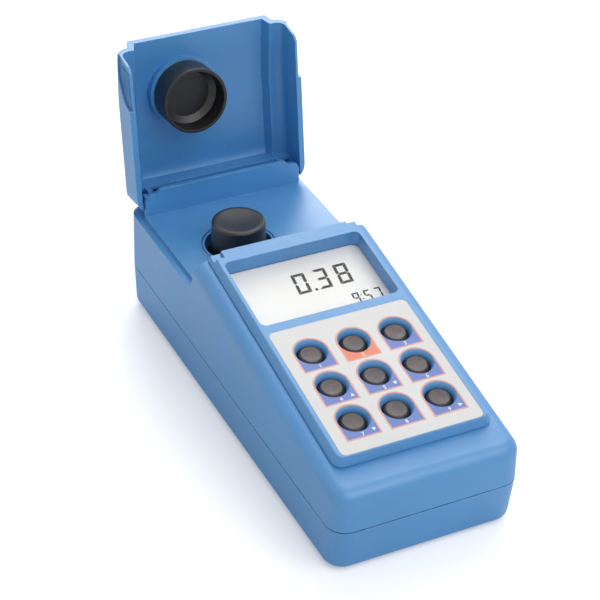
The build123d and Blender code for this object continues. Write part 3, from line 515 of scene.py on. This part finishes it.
def make_materials():
    """Every finish by its short name."""
    plastic = {
        # The case mixes in its edge colour strongly: painted highlight along its edges as well as wear
        "case": moulded_plastic("moulded_blue", case_blue, case_blue_wear_and_highlight, 0.40, edge_show=0.7, shine=0.9),
        "mark": moulded_plastic("ejector_mark_highlight", mark_highlight_blue, mark_highlight_blue, 0.45),
        "black": moulded_plastic("satin_black", satin_black, satin_black_worn, 0.35, 0.15, 0.05),
        "optics": moulded_plastic("optics_black", optics_black, satin_black_worn, 0.55, 0.1, 0.03),
        "rubber": moulded_plastic("foot_rubber", rubber_black, rubber_worn, 0.7, 0.15, 0.12, grain=1500.0),
        "seal": moulded_plastic("seal_dark", seal_blue, seal_blue, 0.7, 0.1, 0.0, edge_show=0.0, shine=0.1),
        # Bowls: lighter blue and a strong edge mix, painted highlight inside the bowls and on their lips
        "bowl": moulded_plastic("bowl_painted_highlight_blue", bowl_painted_highlight_blue, case_blue_wear_and_highlight, 0.36, edge_show=0.9, shine=0.9),
        "liner": moulded_plastic("liner_white", liner_white, liner_worn, 0.5),
    }
    return plastic | {
        "key": key_material(),
        "label": printed_film("label_film", label_white),
        "violet": printed_film("field_violet", field_violet),
        "orange": printed_film("field_orange", field_orange),
        "salmon": printed_film("field_outline", outline_salmon),
        "figure": printed_film("figure_white", figure_white),
        "display": display_face(),
        "digit": printed_film("display_figures", digit_dark, 0.6, 0.1),
        "window": window_plastic(),
        "glass": clear_glass("cuvette_glass", glass_tint),
        "steel": metal("bright_steel", steel_grey, 0.32),
        "brass": metal("lamp_brass", brass_yellow, 0.3),
        "cell": cell_material(),
        "board": board_material(),
    }


finish = make_materials()

# Finish of each CAD node
node_finish = {
    "upper_case": "case", "lower_case": "case", "lid": "case", "battery_cover": "case",
    "well_collar": "case", "light_shield_cup": "black", "cuvette_cap": "black",
    "power_jack": "black", "data_port": "black",
    "optical_block": "optics", "transmitted_light_detector": "optics", "scattered_light_detector": "optics",
    "rubber_feet": "rubber", "case_gasket": "seal", "cap_liner": "liner", "keypad_label": "label",
    "display_window": "window", "lcd_display": "display", "main_board": "board",
    "key_dome_switches": "steel", "case_screws": "steel", "board_screws": "steel", "hinge_pins": "steel",
    "battery_springs": "steel", "battery_contact_plates": "steel", "lamp_holder": "brass",
    "lamp": "glass", "lamp_lens": "glass", "cuvette_glass": "glass",
}


def finish_nodes():
    """Gives each CAD node its finish."""
    for name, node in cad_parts.items():
        if name.startswith("key_") and name != "key_dome_switches":
            kind = "key"
        elif name.startswith("battery_cell"):
            kind = "cell"
        else:
            kind = node_finish[name]
        node.data.materials.clear()
        node.data.materials.append(finish[kind])


def arc_points(radius, start, end, count):
    """Points on an arc about the origin, angles in degrees."""
    angles = [math.radians(start + (end - start) * i / (count - 1)) for i in range(count)]
    return [(radius * math.cos(a), radius * math.sin(a)) for a in angles]


def circle_points(radius, count):
    """Points round a circle about the origin."""
    return arc_points(radius, 0, 360 - 360 / count, count)


def panel_matrix(x, along, lift):
    """Where a flat piece lies: x across, along up the slope, lift out of the panel."""
    tilt = Matrix.Rotation(panel_angle, 4, "X")
    start = Matrix.Translation((0, case_front, panel_front_height))
    return start @ tilt @ Matrix.Translation((x, along, lift))


def flat_piece(name, loops, thick, material, place, body="case"):
    """A thin flat piece from closed loops of points, the inner ones cut out, ridden on a body."""
    curve = bpy.data.curves.new(name + "_outline", "CURVE")
    curve.dimensions = "2D"
    curve.fill_mode = "BOTH"
    curve.extrude = thick / mm / 2
    for loop in loops:
        spline = curve.splines.new("POLY")
        spline.points.add(len(loop) - 1)
        for point, (x, y) in zip(spline.points, loop):
            point.co = (x / mm, y / mm, 0, 1)
        spline.use_cyclic_u = True
    return piece_from_curve(name, curve, material, place @ Matrix.Translation((0, 0, thick / 2)), body)


def piece_from_curve(name, curve, material, place, body):
    """Turns a filled curve or text, drawn in millimetres, into a mesh piece in its place."""
    shape = bpy.data.objects.new(name + "_shape", curve)
    bpy.context.scene.collection.objects.link(shape)
    bpy.context.view_layer.update()
    view = bpy.context.evaluated_depsgraph_get()
    mesh = bpy.data.meshes.new_from_object(shape.evaluated_get(view))
    bpy.data.objects.remove(shape)
    bpy.data.curves.remove(curve)
    mesh.transform(place @ Matrix.Scale(mm, 4))
    mesh.materials.clear()
    mesh.materials.append(finish[material])
    piece = bpy.data.objects.new(name, mesh)
    bpy.context.scene.collection.objects.link(piece)
    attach(piece, body)
    return piece


def prism(name, loop, low, high, material, place, body):
    """A straight-sided piece with a convex outline, from low to high."""
    count = len(loop)
    points = [(x, y, z) for z in (low, high) for x, y in loop]
    sides = [(i, (i + 1) % count, count + (i + 1) % count, count + i) for i in range(count)]
    faces = sides + [tuple(range(count - 1, -1, -1)), tuple(range(count, 2 * count))]
    return mesh_piece(name, points, faces, material, place, body, smooth=False)


def turned_piece(name, profile, material, place, body, closed=False):
    """A round piece turned from a profile of (radius, height); closed joins its last point to its first."""
    points, faces, rings = [], [], []
    steps = round_steps
    for radius, height in profile:
        first = len(points)
        if radius == 0:
            points.append((0, 0, height))
            rings.append([first] * steps)
            continue
        for step in range(steps):
            angle = 2 * math.pi * step / steps
            points.append((radius * math.cos(angle), radius * math.sin(angle), height))
        rings.append(list(range(first, first + steps)))
    pairs = list(zip(rings, rings[1:])) + ([(rings[-1], rings[0])] if closed else [])
    for near, far in pairs:
        for step in range(steps):
            after = (step + 1) % steps
            corners = [near[step], near[after], far[after], far[step]]
            faces.append(tuple(dict.fromkeys(corners)))
    return mesh_piece(name, points, faces, material, place, body, smooth=True)


def mesh_piece(name, points, faces, material, place, body, smooth):
    """A piece from its points and faces, ridden on a body."""
    mesh = bpy.data.meshes.new(name)
    mesh.from_pydata(points, [], faces)
    mesh.transform(place)
    if smooth:
        mesh.shade_smooth()
        mesh.set_sharp_from_angle(angle=sharp_turn)
    mesh.materials.append(finish[material])
    piece = bpy.data.objects.new(name, mesh)
    bpy.context.scene.collection.objects.link(piece)
    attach(piece, body)
    return piece


def key_places():
    """Each key's name, and its place across and along the panel, from the rear left one on."""
    places = []
    for row, row_name in ((2, "rear"), (1, "middle"), (0, "front")):
        for column, column_name in ((-1, "left"), (0, "centre"), (1, "right")):
            x = key_shift + column * key_pitch
            places.append((f"key_{row_name}_{column_name}", x, key_first_row + row * key_row_pitch))
    return places


def key_profile():
    """Half outline of a key, from the middle of its dished top down to its stem."""
    flat = key_radius - key_edge
    shares = [step / key_dish_steps for step in range(key_dish_steps + 1)]
    dish = [(flat * share, -key_sink - key_dish * (1 - share ** 2)) for share in shares]
    rim = [(flat + key_edge * out, -key_sink - key_edge * down) for out, down in key_rim_steps]
    foot = [
        (key_radius, -key_flange_top), (key_flange_radius, -key_flange_top),
        (key_flange_radius, -key_flange_low), (key_stem_radius, -key_flange_low),
        (key_stem_radius, -key_stem_low), (0, -key_stem_low),
    ]
    return dish + rim + foot


def rounded_rectangle(half, low, high, corner):
    """A closed loop with round corners, its middle line at x = 0."""
    loop = []
    for x, y, start in ((half, high, 0), (-half, high, 90), (-half, low, 180), (half, low, 270)):
        centre_x = math.copysign(half - corner, x)
        centre_y = y - corner if y == high else y + corner
        turned = arc_points(corner, start, start + 90, label_corner_steps)
        loop += [(centre_x + u, centre_y + v) for u, v in turned]
    return loop


def make_keypad():
    """Label film, the bowls in it, and the keys in their bowls."""
    loops = [rounded_rectangle(label_half, label_front, label_rear, label_corner)]
    bowl = [
        (bowl_radius, -label_thick), (bowl_lip_radius, -bowl_lip_depth), (bowl_foot_radius, -bowl_depth),
        (bowl_outer_radius, -bowl_depth), (bowl_outer_radius, -label_thick),
    ]
    for name, x, along in key_places():
        place = panel_matrix(x, along, 0)
        loops.append([(x + u, along + v) for u, v in circle_points(bowl_radius, round_steps)])
        turned_piece(name + "_bowl", bowl, "bowl", place, "case", closed=True)
        key = turned_piece(name + "_cap", key_profile(), "key", place, name)
        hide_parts(name)
    label = flat_piece("keypad_film", loops, label_thick, "label", panel_matrix(0, 0, -label_thick))
    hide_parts("keypad_label")


def field_loop(grow):
    """Outline of a key's printed field: a round top that widens to two lower corners."""
    radius = field_round + grow
    corner = (field_half + grow, -field_drop - grow)
    reach = math.hypot(*corner)
    lean = math.atan2(corner[1], corner[0]) + math.acos(min(1.0, radius / reach))
    start = math.degrees(lean)
    top = arc_points(radius, start, 180 - start, field_top_steps)
    return [corner] + top + [(-corner[0], corner[1])]


def print_key_fields():
    """Violet or orange fields, each with a thin outline and a plain number, and arrows on four of them."""
    for number, (_, x, along) in enumerate(key_places(), 1):
        place = panel_matrix(x, along, 0.0)
        hole = circle_points(bowl_radius, round_steps)
        colour = "orange" if number == orange_field else "violet"
        flat_piece(f"key_field_{number}", [field_loop(0), hole], print_thick, colour, place)
        rim = [field_loop(field_line), field_loop(0)]
        flat_piece(f"key_field_outline_{number}", rim, print_thick, "salmon", place)
        place_figure(f"key_figure_{number}", str(number), place)
        if number in arrow_turns:
            corner = place @ Matrix.Translation((arrow_out, -arrow_drop, print_thick))
            turn = Matrix.Rotation(math.radians(arrow_turns[number]), 4, "Z")
            arrow = [(arrow_size * u, arrow_size * v) for u, v in arrow_outline]
            prism(f"key_arrow_{number}", arrow, 0, print_thick, "figure", corner @ turn, "case")


def place_figure(name, text, place):
    """A plain number near a key field's lower edge."""
    curve = bpy.data.curves.new(name, "FONT")
    curve.body = text
    curve.size = figure_size / mm
    curve.align_x = "CENTER"
    curve.align_y = "BOTTOM_BASELINE"
    curve.offset = figure_boldness
    curve.extrude = print_thick / mm / 2
    low = place @ Matrix.Translation((0, -figure_drop, 1.5 * print_thick))
    piece_from_curve(name, curve, "figure", low, "case")


# Which of the seven bars each figure lights: top, two upper sides, middle, two lower sides, bottom
lit_bars = {
    "0": (1, 1, 1, 0, 1, 1, 1), "3": (1, 0, 1, 1, 0, 1, 1), "5": (1, 1, 0, 1, 0, 1, 1),
    "7": (1, 0, 1, 0, 0, 1, 0), "8": (1, 1, 1, 1, 1, 1, 1), "9": (1, 1, 1, 1, 0, 1, 1),
}


def bar_loops(width, height, stroke):
    """The seven bars of a figure as closed loops, its lower left corner at the origin."""
    gap = stroke * bar_gap_share
    tip = stroke * bar_tip_share + gap
    point = stroke * bar_point_share
    inner = stroke + gap
    half = height / 2
    top = [(gap, height), (width - gap, height), (width - inner, height - stroke), (inner, height - stroke)]
    bottom = [(x, height - y) for x, y in top]
    middle = [
        (tip, half), (inner, half + stroke / 2), (width - inner, half + stroke / 2),
        (width - tip, half), (width - inner, half - stroke / 2), (inner, half - stroke / 2),
    ]
    upper_left = [
        (0, height - gap), (stroke, height - inner), (stroke, half + stroke / 2 + gap),
        (point, half + gap), (0, half + point + gap),
    ]
    upper_right = [(width - x, y) for x, y in upper_left]
    lower_left = [(x, height - y) for x, y in upper_left]
    lower_right = [(width - x, y) for x, y in lower_left]
    return [top, upper_left, upper_right, middle, lower_left, lower_right, bottom]


def draw_figure(name, figure, left, low, width, height, stroke):
    """A slanted seven-bar figure on the display."""
    for index, (loop, lit) in enumerate(zip(bar_loops(width, height, stroke), lit_bars[figure])):
        if lit:
            slanted = [(left + x + digit_slant * y, low + y) for x, y in loop]
            place = panel_matrix(0, 0, -display_depth)
            prism(f"{name}_bar_{index}", slanted, 0, segment_thick, "digit", place, "case")


def draw_dot(name, x, along, size):
    """A slanted dot on the display."""
    lean = size * dot_slant
    loop = [(x, along), (x + size, along), (x + size + lean, along + size), (x + lean, along + size)]
    prism(name, loop, 0, segment_thick, "digit", panel_matrix(0, 0, -display_depth), "case")


def draw_display():
    """Reading and clock figures."""
    for index, figure in enumerate(reading_figures):
        left = digit_left + index * digit_pitch
        draw_figure(f"reading_{index}", figure, left, digit_low, digit_width, digit_height, digit_stroke)
    draw_dot("reading_point", digit_left + digit_width + point_gap, digit_low, point_size)
    for index, (figure, left) in enumerate(zip(clock_figures, clock_lefts)):
        draw_figure(f"clock_{index}", figure, left, clock_low, clock_width, clock_height, clock_stroke)
    colon_left = clock_lefts[0] + clock_width + colon_gap
    for index, rise in enumerate(colon_rises):
        draw_dot(f"clock_colon_{index}", colon_left, clock_low + rise, colon_size)


def mark_cover():
    """Faint round ejector marks inside the cover, as thin rings in a lighter blue: painted highlight on
    each recessed mark's edge.
    """
    turn = Matrix.Rotation(-cover_open_angle, 4, "X")
    hinge = Matrix.Translation((0, case_front + hinge_y, hinge_height))
    opened = hinge @ turn @ Matrix.Translation((0, -hinge_y, -hinge_height))
    for index, (x, y) in enumerate(pin_marks):
        place = opened @ Matrix.Translation((x, y, cover_ceiling)) @ Matrix.Rotation(math.pi, 4, "X")
        radii = (pin_mark_radius, pin_mark_radius - pin_mark_line)
        ring = [circle_points(radius, mark_steps) for radius in radii]
        flat_piece(f"cover_mark_{index}", ring, print_thick, "mark", place, "cover")


def make_stage():
    """Pale floor, soft lamps and a white world."""
    floor_mesh = bpy.data.meshes.new("floor")
    corners = [(x * floor_reach, y * floor_reach, 0) for x, y in ((-1, -1), (1, -1), (1, 1), (-1, 1))]
    floor_mesh.from_pydata(corners, [], [(0, 1, 2, 3)])
    floor = bpy.data.objects.new("floor", floor_mesh)
    bpy.context.scene.collection.objects.link(floor)
    material, tree, shader = start_material("floor_white", 0.9)
    shader.inputs["Base Color"].default_value = floor_colour
    shader.inputs["Specular IOR Level"].default_value = 0.0
    shader.inputs["Emission Color"].default_value = white
    camera_ray = tree.nodes.new("ShaderNodeLightPath").outputs["Is Camera Ray"]
    tree.links.new(math_node(tree, "MULTIPLY", camera_ray, floor_lift), shader.inputs["Emission Strength"])
    floor_mesh.materials.append(material)

    world = bpy.data.worlds.new("studio")
    bpy.context.scene.world = world
    world.use_nodes = True
    tree = world.node_tree
    background = tree.nodes["Background"]
    background.inputs["Color"].default_value = white
    rays = tree.nodes.new("ShaderNodeLightPath").outputs
    seen = math_node(tree, "MAXIMUM", rays["Is Camera Ray"], rays["Is Transmission Ray"])
    seen = math_node(tree, "MAXIMUM", seen, rays["Is Glossy Ray"])
    strength = spread(tree, seen, 0.0, 1.0, ambient_level, 1.0)
    tree.links.new(strength, background.inputs["Strength"])

    for lamp in lamps:
        add_lamp(*lamp)


def add_lamp(name, place, size, power):
    """A square softbox pointed at the instrument."""
    lamp = bpy.data.lights.new(name, "AREA")
    lamp.shape = "SQUARE"
    lamp.size = size
    lamp.energy = power
    holder = bpy.data.objects.new(name, lamp)
    bpy.context.scene.collection.objects.link(holder)
    holder.location = place
    aim = Vector(lamp_aim) - Vector(place)
    holder.rotation_euler = aim.to_track_quat("-Z", "Y").to_euler()


# Camera, solved from the instrument's edges in the photograph
camera_place = Vector((-311.72 * mm, case_front - 510.86 * mm, 530.65 * mm))
camera_turn = math.radians(-26.149)
camera_height = math.radians(34.305)
camera_roll = math.radians(1.165)
camera_lens = 115.27
camera_sensor = 36.0


def make_camera():
    """The camera, with its roll about its own line of sight."""
    back = Vector((
        math.sin(camera_turn) * math.cos(camera_height),
        -math.cos(camera_turn) * math.cos(camera_height),
        math.sin(camera_height),
    ))
    right = (-back).cross(Vector((0, 0, 1))).normalized()
    up = right.cross(-back)
    turned_right = right * math.cos(camera_roll) + up * math.sin(camera_roll)
    turned_up = up * math.cos(camera_roll) - right * math.sin(camera_roll)
    camera = bpy.data.cameras.new("camera")
    camera.lens = camera_lens
    camera.sensor_width = camera_sensor
    holder = bpy.data.objects.new("camera", camera)
    bpy.context.scene.collection.objects.link(holder)
    turn = Matrix((turned_right, turned_up, back)).transposed().to_4x4()
    holder.matrix_world = Matrix.Translation(camera_place) @ turn
    bpy.context.scene.camera = holder


finish_nodes()
make_keypad()
print_key_fields()
draw_display()
mark_cover()
make_stage()
make_camera()
bpy.context.scene.view_settings.view_transform = "Standard"
